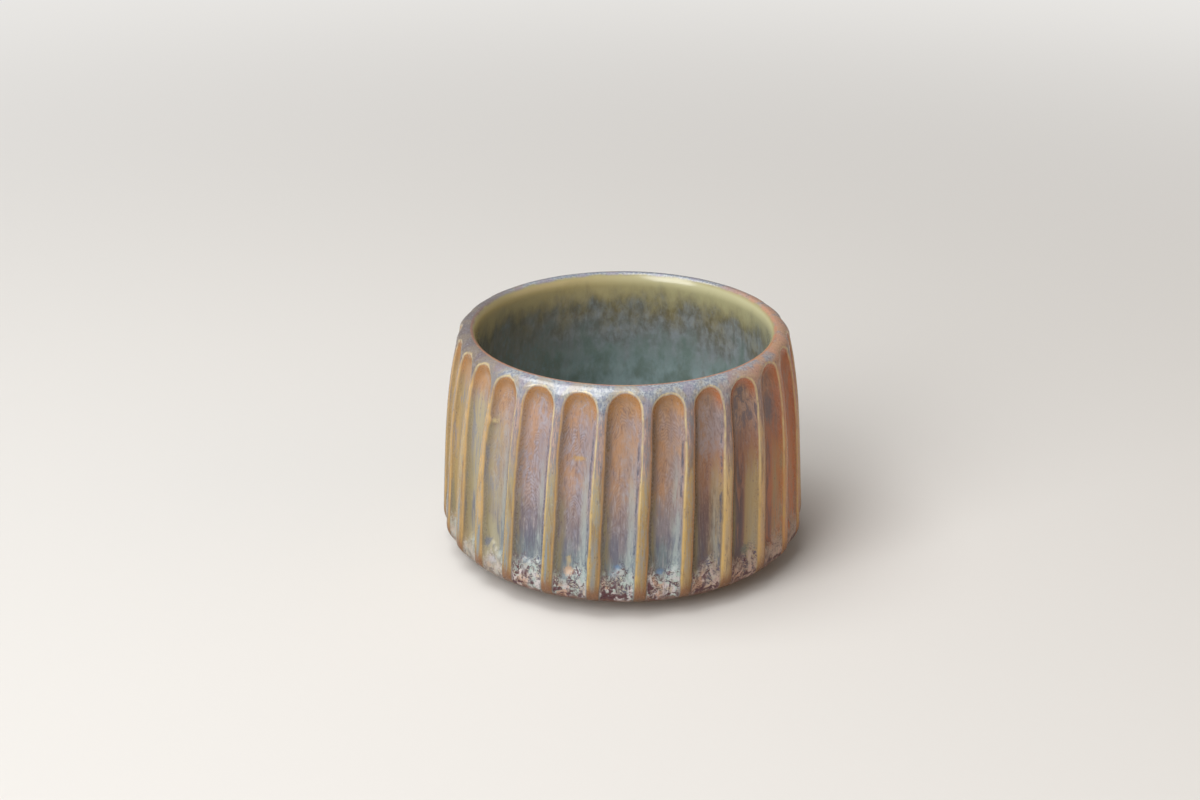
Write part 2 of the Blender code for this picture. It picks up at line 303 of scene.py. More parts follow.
def flute_carving():
    """The carving rule: where each point of a thrown form goes once its outside is fluted by hand."""
    tree = bpy.data.node_groups.new("flute carving", "GeometryNodeTree")
    bench = Bench(tree)
    sizes = {
        "Flute depth": FLUTE_DEPTH,
        "Flute lean": FLUTE_LEAN,
        "Ridge width at the top": RIDGE_TOP,
        "Ridge width at the foot": RIDGE_FOOT,
        "Ridge share of columns": 0.1,
        "Edge softness": 0.6,
        "Pool thickness": 0.0,
        "Hand wander": 0.5,
        "Seed": 7,
    }
    tree.interface.new_socket("Geometry", in_out="INPUT", socket_type="NodeSocketGeometry")
    for name, value in sizes.items():
        kind = "NodeSocketInt" if name == "Seed" else "NodeSocketFloat"
        tree.interface.new_socket(name, in_out="INPUT", socket_type=kind).default_value = value
    tree.interface.new_socket("Material", in_out="INPUT", socket_type="NodeSocketMaterial")
    tree.interface.new_socket("Geometry", in_out="OUTPUT", socket_type="NodeSocketGeometry")
    given = bench.node("NodeGroupInput").outputs
    size = {name: Measure(bench, given[name]) for name in sizes}

    turn = bench.number("turn")
    flute = (turn + 0.0005).by("FLOOR")
    within = turn - flute

    def chance(low, high, offset):
        """A number drawn once for each flute."""
        node = bench.node("FunctionNodeRandomValue", data_type="FLOAT")
        bench.feed(node.inputs[2], low)
        bench.feed(node.inputs[3], high)
        bench.feed(node.inputs["ID"], flute)
        bench.feed(node.inputs["Seed"], size["Seed"] + offset)
        return Measure(bench, node.outputs[1])

    # The spacing of the ridges, as the potter's hand set them out
    widths = np.array(FRONT_FLUTES + (1.0,) * (FLUTES - len(FRONT_FLUTES)))
    bearings = np.concatenate([[0.0], np.cumsum(widths) / widths.sum()])

    def ridge(number):
        """The bearing of a ridge, in degrees from the front."""
        node = bench.node("ShaderNodeFloatCurve")
        points = node.mapping.curves[0].points
        while len(points) < len(bearings):
            points.new(0.5, 0.5)
        for index, bearing in enumerate(bearings):
            points[index].location = (index / FLUTES, bearing)
            points[index].handle_type = "VECTOR"
        node.mapping.update()
        bench.feed(node.inputs["Value"], number / float(FLUTES))
        return Measure(bench, node.outputs[0]) * 360.0 + FIRST_RIDGE

    left = ridge(flute)
    right = ridge(flute + 1.0)
    centre = (left + right) * 0.5
    half = (right - left) * 0.5

    # The widths of the ridges. At the left they narrow upwards, one is broad and the next is set over
    level = bench.number("level")
    coat = bench.number("coat")
    upward = ((level - BELLY) / (SHOULDER - BELLY)).held()
    ridge_width = size["Ridge width at the foot"] + upward * (
        size["Ridge width at the top"] - size["Ridge width at the foot"]
    )
    degree = math.radians(1.0) * BELLY_RADIUS
    along = (within - 0.5) / (0.5 - size["Ridge share of columns"])
    nearest = centre + along.by("SIGN") * half
    narrowed = 1.0 - bench.ramp(nearest, *NARROW_RIDGES) * bench.ramp(level, 16.0, 34.0) * 0.4
    righthand = bench.ramp(along, -0.01, 0.01)
    broad = bench.band(nearest, *BROAD_RIDGE, 4.0) * (0.3 + righthand * 0.75)
    moved_left = bench.band(nearest, *MOVED_RIDGE, 2.0) * (righthand * 1.35 - 0.4)
    middle = bench.ramp(level, 45.0, 28.0) * bench.ramp(level, 3.0, 18.0)
    ridge_half = ridge_width * (narrowed + (broad + moved_left) * middle) * (0.5 / degree)
    reach = half - ridge_half

    # Columns crowd towards the edges of a flute, where its section turns
    inside = along.held(-1.0, 1.0)
    across = inside * (1.0 + COLUMN_CROWDING) - inside * inside * inside * COLUMN_CROWDING
    beyond = (abs(along) - 1.0).by("MAXIMUM", 0.0) * (0.5 - size["Ridge share of columns"])
    beyond = beyond / size["Ridge share of columns"]
    angle = across * reach + along.by("SIGN") * beyond * ridge_half

    # Rows rise into the round tops
    spring = FLUTE_SPRING + chance(-0.35, 0.2, 1)
    crest = CLAY_HEIGHT + coat
    tip = (1.0 - abs(across) ** ARCH_SQUARENESS).held() ** (1.0 / ARCH_SQUARENESS) * FLUTE_ARCH
    rising = (level - FLUTE_STRAIGHT) / (FLUTE_SPRING - FLUTE_STRAIGHT)
    falling = (crest - level) / (crest - FLUTE_SPRING)
    carved = bench.number("carved")
    height = level + tip * rising.by("MINIMUM", falling).held() * carved

    # The thrown outside: lip, wall and heel
    share = ((height - BELLY) / (SHOULDER - BELLY)).held()
    rise = ((height - SHOULDER) / (LIP_DROP + coat)).held()
    fall = ((BELLY - height) / (HEEL_RISE + coat)).held()
    wall = BELLY_RADIUS + coat - share * WALL_TAPER - share * share * share * share * WALL_CLOSING
    wall = wall + ((1.0 - rise * rise).root() - 1.0) * (LIP_ROUND + coat)
    heel = wall + ((1.0 - fall * fall).root() - 1.0) * (HEEL_REACH + coat)

    # The cut of the loop tool, measured from the edge of the flute
    bearing = (centre + angle) * math.radians(1.0)
    spot = bench.joined(bearing.by("SINE") * BELLY_RADIUS, bearing.by("COSINE") * -BELLY_RADIUS, height)
    wander = (bench.mottle(spot, 7.0, 0.6, 2.0) - 0.5) * size["Hand wander"] * 3.0
    slip = (bench.mottle(spot, 1.6, 0.7, 2.0) - 0.5) * size["Hand wander"]
    flute_half = reach * degree
    above = (height - spring).by("MAXIMUM", 0.0) * (flute_half / FLUTE_ARCH)
    sideways = angle * degree
    apart = (abs(sideways) ** ARCH_SQUARENESS + above ** ARCH_SQUARENESS) ** (1.0 / ARCH_SQUARENESS)

    # Beside the ridge that is set over, the tool was put down twice and left a low step
    restart = bench.band(nearest, *RESTARTED_EDGE, 1.0) * bench.ramp(along, 0.0, -0.3)
    restart = restart * bench.band(height, *RESTART_HEIGHT, 1.4)
    edge = flute_half - apart + wander * 0.5 + slip * 0.3 - restart
    soft = size["Edge softness"]
    entered = (edge + (edge * edge + soft * soft).root()) * 0.5
    bowl = 1.0 - (1.0 - (entered / flute_half).held()) ** FLUTE_FULLNESS
    depth = size["Flute depth"] * chance(0.92, 1.06, 2) * bowl
    cut = bench.sum("SMOOTH_MIN", heel, wall - depth, HEEL_RUN_OUT)
    hollow = ((heel - cut) / FLUTE_DEPTH).held()

    # Glaze that ran down and pooled at the flute's foot
    front = POOL_FRONT + (bench.mottle(spot, 2.6, 0.2, 2.0) - 0.5) * 9.0 + chance(-0.8, 0.8, 3)
    pool = bench.ramp(height, front + 0.9, front - 1.2) * bench.ramp(edge, -0.1, 1.1)
    lumps = bench.mottle(spot, 2.4, 0.8, 2.0, 0.5, 0.8)
    swell = pool * hollow * size["Pool thickness"] * (0.5 + lumps)

    # The hand's unevenness, always inwards, and the lean of the strokes
    wobble = (bench.mottle(spot, 24.0, 0.5, 1.0) - 0.3).held() * 0.25
    radius = cut + swell - wobble
    lean = (CLAY_HEIGHT - height) * size["Flute lean"] * (math.radians(1.0) / (CLAY_HEIGHT - BELLY))
    bearing = bearing - lean
    radius = bench.number("radius") * (1.0 - carved) + radius * carved
    position = bench.joined(
        bearing.by("SINE") * radius * MM,
        bearing.by("COSINE") * radius * -MM,
        height * MM,
    )
    moved = bench.node("GeometryNodeSetPosition")
    bench.feed(moved.inputs["Geometry"], given["Geometry"])
    bench.feed(moved.inputs["Position"], position)

    # What the glaze follows: the flute's edge and sides, the ridge's crown, the pool and the flute's lot
    flow = moved.outputs["Geometry"]
    kept = {
        "edge": edge,
        "side": ((within - 0.5) * math.tau).by("SINE"),
        "bank": sideways - along.by("SIGN") * half * degree,
        "run": front - height,
        "batch": chance(0.0, 1.0, 4),
    }
    for label, value in kept.items():
        store = bench.node("GeometryNodeStoreNamedAttribute", data_type="FLOAT", domain="POINT")
        store.inputs["Name"].default_value = label
        bench.feed(store.inputs["Geometry"], flow)
        bench.feed(store.inputs["Value"], value)
        flow = store.outputs["Geometry"]
    real = bench.node("GeometryNodeRealizeInstances")
    bench.feed(real.inputs["Geometry"], flow)
    dressed = bench.node("GeometryNodeSetMaterial")
    bench.feed(dressed.inputs["Geometry"], real.outputs["Geometry"])
    bench.feed(dressed.inputs["Material"], given["Material"])
    bench.feed(bench.node("NodeGroupOutput").inputs["Geometry"], dressed.outputs["Geometry"])
    return tree


def carve(piece, tree, material, sizes):
    """Runs the carving rule on a thrown form with these sizes, and keeps the result as a plain mesh."""
    modifier = piece.modifiers.new("carving", "NODES")
    modifier.node_group = tree
    for item in tree.interface.items_tree:
        if item.in_out == "INPUT" and item.name == "Material":
            modifier[item.identifier] = material
        elif item.in_out == "INPUT" and item.name in sizes:
            modifier[item.identifier] = sizes[item.name]
    bpy.context.view_layer.update()
    shaped = piece.evaluated_get(bpy.context.evaluated_depsgraph_get())
    mesh = bpy.data.meshes.new_from_object(shaped)
    piece.modifiers.remove(modifier)
    piece.data = mesh


def smoothed(piece, sharp=42.0):
    """Turns the faces outwards, smooths them, and keeps only real corners sharp."""
    shape = bmesh.new()
    shape.from_mesh(piece.data)
    bmesh.ops.recalc_face_normals(shape, faces=shape.faces)
    for face in shape.faces:
        face.smooth = True
    for line in shape.edges:
        line.smooth = line.calc_face_angle(0.0) < math.radians(sharp)
    shape.to_mesh(piece.data)
    shape.free()
    for label in SETTING_OUT:
        old = piece.data.attributes.get(label)
        if old:
            piece.data.attributes.remove(old)


def finish(name):
    """A new material, with its bench, its shader and the place of each point in millimetres."""
    material = bpy.data.materials.new(name)
    material.use_nodes = True
    bench = Bench(material.node_tree)
    shader = material.node_tree.nodes["Principled BSDF"]
    return material, bench, shader, bench.place()


def raised(bench, shader, height, depth):
    """Lets a fine texture of this depth, in millimetres, stand up on the surface."""
    node = bench.node("ShaderNodeBump")
    node.inputs["Distance"].default_value = depth * MM
    bench.feed(node.inputs["Height"], height)
    bench.feed(shader.inputs["Normal"], node.outputs["Normal"])


def bare_stoneware():
    """Buff clay, fired and unglazed: cloudy, gritty and freckled with iron."""
    material, bench, shader, place = finish("bare stoneware")
    cloud = bench.mottle(place, 7.0, 1.0, 4.0)
    grit = bench.mottle(place, 0.5, 1.0, 4.0, 0.7)
    colour = bench.paint(fired(186, 150, 112), fired(152, 112, 78), bench.ramp(cloud, 0.35, 0.7))
    colour = bench.paint(colour, fired(204, 174, 138), bench.ramp(grit, 0.55, 0.75) * 0.6)
    iron = bench.flecks(place, 1.5, 1.0, 0.35)
    colour = bench.paint(colour, fired(78, 48, 32), iron * 0.85)
    bench.feed(shader.inputs["Base Color"], colour)
    bench.feed(shader.inputs["Roughness"], 0.72 + grit * 0.25)
    raised(bench, shader, grit * 0.7 - iron * 0.4, 0.12)
    return material


def outside_rows(levels, coat):
    """Rows that the carving rule takes to the thrown outside, under a coat this thick."""
    return [(BELLY_RADIUS, level, coat, 1.0) for level in levels]


def quarter(steps):
    """Angles round a quarter turn, with both ends."""
    return [math.pi / 2 * step / steps for step in range(steps + 1)]


def heel_levels(coat, steps, end):
    """Heights down the rounded heel, from the belly to where it turns under."""
    return [BELLY - (HEEL_RISE + coat) * math.sin(end * step / steps) for step in range(1, steps + 1)]


def lip_levels(coat, steps):
    """Heights round the lip, from its crest to the shoulder."""
    return [SHOULDER + (LIP_DROP + coat) * math.cos(turned) for turned in quarter(steps)[:-1]]


LINER_WALL = ((33.0, 49.6), (33.35, 46.6), (33.74, 43.0), (34.25, 36.7), (34.57, 30.3), (34.67, 24.0))
FLOOR = 9.2
CORNER_FLAT = 20.97
FOOT_RADIUS = 33.0
FOOT_WIDTH = 5.0
FOOT_EDGE = 0.7
FOOT_FILLET = 0.9
RECESS_DEPTH = 3.0
TRIM_RING = 0.25
TRIM_PITCH = 2.9
TRIM_ROWS = 33


def foot_rows():
    """The turned foot: a recess with fine trimming rings, the foot ring and the underside of the heel."""
    inner = FOOT_RADIUS - FOOT_WIDTH
    flat = inner - FOOT_FILLET
    rows = [(0.0, RECESS_DEPTH - TRIM_RING)]
    for step in range(1, TRIM_ROWS + 1):
        radius = flat * step / TRIM_ROWS
        ring = TRIM_RING * math.cos(radius / TRIM_PITCH) * (1.0 - radius / 60.0)
        rows.append((radius, RECESS_DEPTH - ring))
    rounds = [(math.sin(turned), math.cos(turned)) for turned in quarter(5)]
    for up, back in rounds[1:]:
        rows.append((flat + FOOT_FILLET * up, RECESS_DEPTH - FOOT_FILLET * (1.0 - back)))
    for up, back in rounds:
        rows.append((inner + FOOT_EDGE * (1.0 - back), FOOT_EDGE * (1.0 - up)))
    rows.append((0.5 * (inner + FOOT_RADIUS), 0.0))
    for up, back in rounds:
        rows.append((FOOT_RADIUS - FOOT_EDGE * (1.0 - up), FOOT_EDGE * (1.0 - back)))
    for up, back in rounds[1:]:
        radius = FOOT_RADIUS + FOOT_FILLET * (1.0 - back)
        rows.append((radius, FOOT_HEIGHT - FOOT_FILLET + FOOT_FILLET * up))
    rows.append((HEEL_RADIUS, FOOT_HEIGHT))
    return [(radius, height, 0.0, 0.0) for radius, height in rows]


def well_profile(shell):
    """The inside, from under the lip to the middle of the floor, with this much added to its depth."""
    rows = [(radius + shell, height) for radius, height in LINER_WALL]
    corner_radius, corner_height = LINER_WALL[-1]
    wide = corner_radius - CORNER_FLAT + shell
    rise = corner_height - FLOOR + shell
    for turned in quarter(12)[1:]:
        rows.append((CORNER_FLAT + wide * math.cos(turned), corner_height - rise * math.sin(turned)))
    rows += [(CORNER_FLAT * share, FLOOR - shell) for share in (0.75, 0.5, 0.25, 0.0)]
    return rows


CLAY_COLUMNS = 12
CLAY_RIDGE_COLUMNS = 2
LINER_BED = 1.0
clay_end = math.radians(88.0)
clay_levels = heel_levels(0.0, 10, clay_end)[::-1]
clay_levels += list(np.linspace(BELLY, FLUTE_STRAIGHT, 22))
clay_levels += list(np.linspace(FLUTE_STRAIGHT, SHOULDER, 15)[1:-1])
clay_levels += lip_levels(0.0, 6)[::-1]
clay_rows = foot_rows() + outside_rows(clay_levels, 0.0)
clay_rows += [(radius, height, 0.0, 0.0) for radius, height in well_profile(LINER_BED)]
carving = flute_carving()
body = thrown("stoneware_cup", clay_rows, FLUTES * CLAY_COLUMNS)
carve(body, carving, bare_stoneware(), {"Ridge share of columns": CLAY_RIDGE_COLUMNS / CLAY_COLUMNS})
smoothed(body)
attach(body, "root")
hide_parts("stoneware_body")

# Liner glaze
# A glossy olive glass coat poured round the inside and fused to the clay. It breaks to blue grey where
# it ran thick down the wall, and turns yellow where it thins over the lip.
LINER_COAT = 0.75
LINER_COLUMNS = 10
CREST_JOIN = 34.55
CREST_TOP = CLAY_HEIGHT + 1.0
UNDER_LIP = (34.0, 50.6)
THROWING_RING = 0.03


def lip_glaze(bench, place):
    """The glaze on the lip, which both coats share: lilac grey outside, olive yellow as it turns in."""
    paint, ramp, mottle = bench.paint, bench.ramp, bench.mottle
    x, y = bench.parted(place)[:2]
    radius = (x * x + y * y).root()
    cloud = mottle(place, 3.6, 0.6, 4.0, 0.6)
    fine = mottle(place, 0.55, 0.4, 4.0, 0.7)
    colour = paint(fired(122, 130, 148), fired(176, 182, 184), ramp(fine, 0.36, 0.66))
    colour = paint(colour, fired(150, 142, 158), ramp(cloud, 0.48, 0.6) * 0.6)
    tan = ramp(abs(x) + (cloud - 0.5) * 30.0, 18.0, 32.0) * (0.5 + ramp(fine, 0.3, 0.6) * 0.5)
    colour = paint(colour, fired(158, 134, 120), tan * 0.55)
    dull = ramp(x, -22.0, -33.0) * ramp(fine, 0.32, 0.52)
    colour = paint(colour, fired(104, 94, 92), dull * 0.75)
    # Orange on the right of the lip: partly the glaze's own tone, partly painted orange bounce light
    rusty_and_bounce_light = ramp(x, 18.0, 33.0) * ramp(cloud, 0.34, 0.54)
    colour = paint(colour, fired(206, 148, 106), rusty_and_bounce_light * 0.65)
    dark = bench.flecks(place, 0.5, 0.6, 0.6)
    colour = paint(colour, fired(76, 68, 92), dark * 0.75)
    reach = 34.35 + ramp(y, 4.0, -28.0) * 0.45
    thinned = ramp(radius + (fine - 0.5) * 0.6, reach + 0.2, reach - 0.15)
    thinned = thinned * ramp(y, 20.0, -20.0)
    colour = paint(colour, fired(188, 122, 74), thinned * 0.65)
    turning = ramp(radius + (cloud - 0.5) * 1.2, 34.1, 33.5)
    colour = paint(colour, fired(170, 160, 112), turning * 0.9)
    return colour, cloud


def liner_glaze():
    """Teal grey low in the well, misty and olive further up, straw yellow under the lip."""
    material, bench, shader, place = finish("liner glaze")
    paint, ramp, mottle = bench.paint, bench.ramp, bench.mottle
    x, y, z = bench.parted(place)
    radius = (x * x + y * y).root()
    lip = lip_glaze(bench, place)[0]
    drips = mottle(place, 2.0, 0.45, 5.0, 0.62, 0.4)
    soft = mottle(place, 5.5, 0.6, 5.0, 0.6)
    haze = mottle(place, 1.1, 0.7, 4.0, 0.7)
    down = z + (drips - 0.5) * 6.0 + (soft - 0.5) * 34.0
    teal = paint(fired(112, 128, 122), fired(148, 166, 168), ramp(soft, 0.34, 0.66))
    teal = paint(teal, fired(112, 122, 112), ramp(drips, 0.48, 0.7) * 0.4)
    pale = ramp(drips * 0.7 + haze * 0.3, 0.36, 0.64)
    mist = paint(fired(110, 112, 106), fired(138, 144, 148), pale)
    colour = paint(teal, mist, ramp(down, 28.0, 40.0))
    olive = paint(fired(112, 98, 62), fired(140, 130, 94), ramp(drips, 0.38, 0.64))
    colour = paint(colour, olive, ramp(down, 36.0, 50.0) * ramp(z, 32.0, 43.0) * 0.9)
    colour = paint(colour, fired(158, 164, 166), ramp(haze, 0.46, 0.74) * 0.16)
    brown = ramp(x, -4.0, -32.0) * ramp(haze, 0.3, 0.6)
    colour = paint(colour, fired(116, 98, 72), brown * 0.55)
    straw = paint(fired(188, 172, 122), fired(186, 180, 138), ramp(x, -16.0, 22.0))
    colour = paint(colour, straw, ramp(z + (soft - 0.5) * 12.0, 43.5, 50.5) * 0.9)
    # Paler near the top of the well and towards the right: partly paler glaze, partly a painted highlight
    pale_rim_and_highlight = ramp(z, 49.0, 51.4) * ramp(x, -20.0, 20.0)
    colour = paint(colour, fired(198, 194, 156), pale_rim_and_highlight * 0.6)
    colour = paint(colour, lip, ramp(radius, 33.3, 33.8) * ramp(z, 50.4, 51.6))
    bench.feed(shader.inputs["Base Color"], colour)
    bench.feed(shader.inputs["Roughness"], 0.12 + soft * 0.14)
    shader.inputs["IOR"].default_value = 1.55
    shader.inputs["Coat Weight"].default_value = 0.3
    shader.inputs["Coat Roughness"].default_value = 0.08
    raised(bench, shader, soft + drips * 0.3, 0.06)
    return material


def liner_rows():
    """The coat's face, from the floor up the softly ringed wall and over the lip, then its back."""
    face = []
    top_radius, top_height = LINER_WALL[0]
    lip_wide = CREST_JOIN - top_radius
    lip_rise = CREST_TOP - top_height
    for turned in quarter(12)[:-1]:
        face.append((CREST_JOIN - lip_wide * math.sin(turned), top_height + lip_rise * math.cos(turned)))
    walls = np.array(LINER_WALL)
    heights = np.linspace(top_height, LINER_WALL[-1][1], 60)
    radii = np.interp(heights[::-1], walls[::-1, 1], walls[::-1, 0])[::-1]
    softened = np.convolve(np.pad(radii, 5, mode="edge"), np.ones(11) / 11, mode="valid")
    rings = THROWING_RING * np.sin(heights * 1.35) * np.clip((49.0 - heights) / 6.0, 0.0, 1.0)
    face += list(zip(softened - 2.0 * THROWING_RING + rings, heights))
    face += well_profile(0.0)[len(LINER_WALL):]
    back = [(CREST_JOIN, CREST_TOP - LINER_COAT), UNDER_LIP]
    back += well_profile(LINER_COAT)
    rows = face[::-1] + back
    return [(radius, height, 0.0, 0.0) for radius, height in rows]


liner = thrown("liner_coat", liner_rows(), FLUTES * LINER_COLUMNS)
liner.data.materials.append(liner_glaze())
smoothed(liner)
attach(liner, "root")
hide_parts("liner_glaze")

# Fluted glaze
# A runny, breaking glass coat dipped over the carved outside. It thins to ochre on every edge, turns
# tan, mauve and blue grey as it thickens down the flutes, and gathers in pale, maroon-veined pools at
# their feet.
GLAZE_COAT = 1.0
GLAZE_BACK = 0.35
GLAZE_COLUMNS = 28
GLAZE_RIDGE_COLUMNS = 3
POOL_THICKNESS = 0.8
POOL_REACH = 15.0


def fluted_glaze():
    """The outer glaze, painted in the order in which it lies: flute floors, ridges, thin edges, pools."""
    material, bench, shader, place = finish("fluted glaze")
    paint, ramp, band, mottle = bench.paint, bench.ramp, bench.band, bench.mottle
    x, y, z = bench.parted(place)
    edge = bench.number("edge")
    side = bench.number("side")
    bank = bench.number("bank")
    run = bench.number("run")
    batch = bench.number("batch")

    # Clouds, runs and grain, and the zones from left to right in which the kiln gave other tones; the
    # orange at the far right is partly painted bounce light
    cloud = mottle(place, 6.0, 0.5, 4.0, 0.6)
    streak = mottle(place, 1.0, 0.1, 5.0, 0.66, 0.4)
    hair = mottle(place, 0.36, 0.1, 4.0, 0.66, 0.5)
    grain = mottle(place, 0.3, 0.6, 3.0, 0.65)
    swirl = mottle(place, 2.6, 0.6, 2.0, 0.5, 1.2)
    left = ramp(x, -23.0, -29.0)
    far_left = ramp(x, -32.0, -37.0)
    right = ramp(x, 12.0, 24.0)
    far_right = ramp(x, 28.0, 35.0)
    warmth = ramp(x, -26.0, 20.0)
    stray = edge + (hair - 0.5) * 1.6 + (streak - 0.5) * 1.6

    # Fine rings hang across each flute in arcs, because the glaze ran faster down its middle
    lag = (4.0 - edge).held(0.0, 4.0)
    sag = bench.joined(x, y, z + lag * lag * 0.35)
    veil = mottle(sag, 1.1, 0.45, 5.0, 0.7, 0.6)
    fold = mottle(sag, 3.4, 0.35, 2.0, 0.5)
    rings = ((z + lag * lag * 0.5 + fold * 16.0) * 5.6).by("SINE") * 0.5 + 0.5
    rings = rings * ramp(cloud, 0.36, 0.56) * ramp(z, 14.0, 24.0)

    # Flute floors, from their ochre tops down to slate
    down = z + (streak - 0.5) * 11.0 + (cloud - 0.5) * 14.0
    middle = paint(fired(160, 148, 148), fired(172, 140, 120), warmth)
    upper = paint(fired(176, 154, 142), fired(178, 142, 114), warmth)
    floor = paint(fired(118, 132, 138), fired(134, 126, 132), ramp(down, 12.0, 19.0))
    floor = paint(floor, middle, ramp(down, 20.0, 31.0))
    floor = paint(floor, upper, ramp(down, 33.0, 43.0))
    floor = paint(floor, fired(176, 138, 96), ramp(down, 44.0, 52.0))
    lilac = band(x, -22.0, -5.0, 2.0) * band(down, 27.0, 47.0, 3.0)
    floor = paint(floor, fired(160, 150, 164), lilac * 0.4)
    warm = ramp(veil + (batch - 0.5) * 0.12, 0.46, 0.64) * ramp(z, 20.0, 32.0)
    tanned = band(x, 4.0, 14.0, 2.0)
    floor = paint(floor, fired(182, 134, 88), warm * (0.55 + tanned * 0.3))
    pale = ramp(veil, 0.5, 0.34) * ramp(z, 12.0, 24.0)
    strong = 0.5 + band(x, -22.0, -4.0, 2.0) * 0.25 - ramp(x, 2.0, 10.0) * 0.2
    floor = paint(floor, fired(168, 162, 172), pale * strong)
    shady = ramp(side, -0.3, 0.6) * band(down, 24.0, 47.0, 3.0)
    shady = shady * (1.0 - left) * (1.0 - right * 0.7)
    clouded = 0.12 + ramp(cloud, 0.42, 0.58) * 0.45 - tanned * 0.1
    floor = paint(floor, fired(154, 150, 162), shady * clouded)
    tan = ramp(side, 0.2, -0.4) * band(down, 27.0, 47.0, 3.0) * ramp(cloud, 0.58, 0.44)
    floor = paint(floor, fired(188, 138, 92), tan * (0.4 + tanned * 0.25))
    floor = paint(floor, fired(118, 88, 80), rings * 0.42)
    floor = paint(floor, fired(98, 80, 84), ramp(hair, 0.52, 0.7) * 0.5)
    gleam = ramp(hair, 0.48, 0.32) * ramp(z, 46.0, 22.0)
    floor = paint(floor, fired(190, 184, 182), gleam * (0.5 - right * 0.3))

    # Khaki on the left flutes, straw and maroon on the right ones
    khaki = left * ramp(down, 46.0, 38.0) * (1.0 - ramp(cloud, 0.5, 0.62) * 0.4)
    floor = paint(floor, fired(172, 162, 130), khaki * 0.85)
    floor = paint(floor, fired(158, 132, 88), far_left * 0.85)
    floor = paint(floor, fired(178, 138, 96), left * ramp(down, 40.0, 47.0) * 0.5)
    flank = ramp(x, -35.2, -36.8) * ramp(side, 0.0, -0.5) * ramp(stray, 2.6, 1.0)
    flank = flank * ramp(z, 9.0, 15.0) * ramp(z, 47.0, 41.0)
    flank = flank * (0.45 + ramp(streak, 0.36, 0.58) * 0.4)
    floor = paint(floor, fired(206, 168, 106), flank)
    grey = ramp(side, 0.1, 0.6) * band(stray, 0.3, 1.5, 0.5) + ramp(streak, 0.5, 0.6)
    grey = left * band(down, 14.0, 44.0, 4.0) * grey.held()
    floor = paint(floor, fired(124, 130, 146), grey * 0.65)
    chestnut = right * ramp(down, 46.0, 32.0)
    floor = paint(floor, fired(150, 92, 58), chestnut * 0.75)
    straw = right * ramp(side, 0.1, 0.6) * ramp(down, 37.0, 27.0)
    floor = paint(floor, fired(172, 152, 106), straw * 0.8)
    maroon = right * ramp(side, 0.45, -0.2) * ramp(down, 42.0, 30.0)
    maroon = maroon * ramp(streak, 0.38, 0.54)
    dusk = paint(fired(88, 56, 50), fired(74, 62, 70), ramp(x, 17.0, 24.0))
    floor = paint(floor, dusk, maroon * 0.8)
    wine = band(x, 13.0, 23.0, 1.5) * band(down, 7.0, 27.0, 3.0)
    wine = wine * ramp(hair, 0.36, 0.54)
    floor = paint(floor, fired(80, 58, 58), wine * 0.55)
    mauve = right * ramp(down, 34.0, 42.0) * ramp(veil, 0.42, 0.56)
    slaty = paint(fired(122, 114, 124), fired(92, 92, 108), ramp(x, 18.0, 24.0))
    floor = paint(floor, slaty, mauve * (0.75 - far_right * 0.4))
    veiled = band(x, 14.5, 23.0, 2.0) * band(down, 36.0, 47.0, 2.5)
    veiled = veiled * ramp(veil, 0.6, 0.44)
    floor = paint(floor, fired(156, 146, 150), veiled * 0.65)
    # Orange on the far right flutes: partly the glaze's own tone, partly painted orange bounce light
    ember_and_bounce_light = far_right * (0.3 + ramp(streak, 0.6, 0.44) * 0.6)
    ember_and_bounce_light = ember_and_bounce_light * (1.0 - ramp(side, 0.1, 0.6) * 0.35)
    ember_and_bounce_light = (ember_and_bounce_light + ramp(x, 34.0, 38.5) * 0.3).held()
    floor = paint(floor, fired(194, 106, 48), ember_and_bounce_light)
    fine = right * ramp(hair, 0.48, 0.34) * band(z, 26.0, 46.0, 3.0)
    floor = paint(floor, fired(148, 132, 134), fine * (0.5 - far_right * 0.3))

    # The thick, pale blue side of each flute with its dark seam, and the other side, olive khaki low down,
    # with painted olive shade on its wall, which faces away from the light
    blue = ramp(side, 0.2, 0.75) * band(stray, 1.1, 2.4, 0.7) * ramp(z, 42.0, 26.0)
    blue = blue * ramp(streak, 0.34, 0.54)
    floor = paint(floor, fired(168, 174, 168), blue * (0.65 - right * 0.55))
    foam = ramp(side, 0.2, 0.8) * band(stray, 0.4, 2.0, 0.7) * ramp(down, 28.0, 13.0)
    foam = foam * ramp(streak, 0.3, 0.54)
    floor = paint(floor, fired(170, 186, 184), foam * (0.7 - right * 0.55))
    slate = band(z, 10.5, 20.0, 3.0) * ramp(streak, 0.46, 0.6) * (1.0 - right * 0.75)
    floor = paint(floor, fired(84, 92, 114), slate * 0.6)
    murky = band(x, -25.0, -15.5, 1.5) * band(down, 10.0, 25.0, 4.0)
    murky = murky * ramp(hair, 0.3, 0.6)
    floor = paint(floor, fired(88, 82, 100), murky * 0.4)
    seam = ramp(side, 0.2, 0.6) * band(edge + (streak - 0.5) * 0.8, 0.45, 0.85, 0.2)
    seam = seam * ramp(z, 48.0, 38.0) * ramp(hair, 0.38, 0.52)
    seam = seam * (1.0 - ramp(x, 20.0, 27.0) * 0.8)
    seam = seam * (1.0 - warmth * ramp(swirl, 0.54, 0.42))
    floor = paint(floor, fired(72, 80, 102), seam * 0.8)
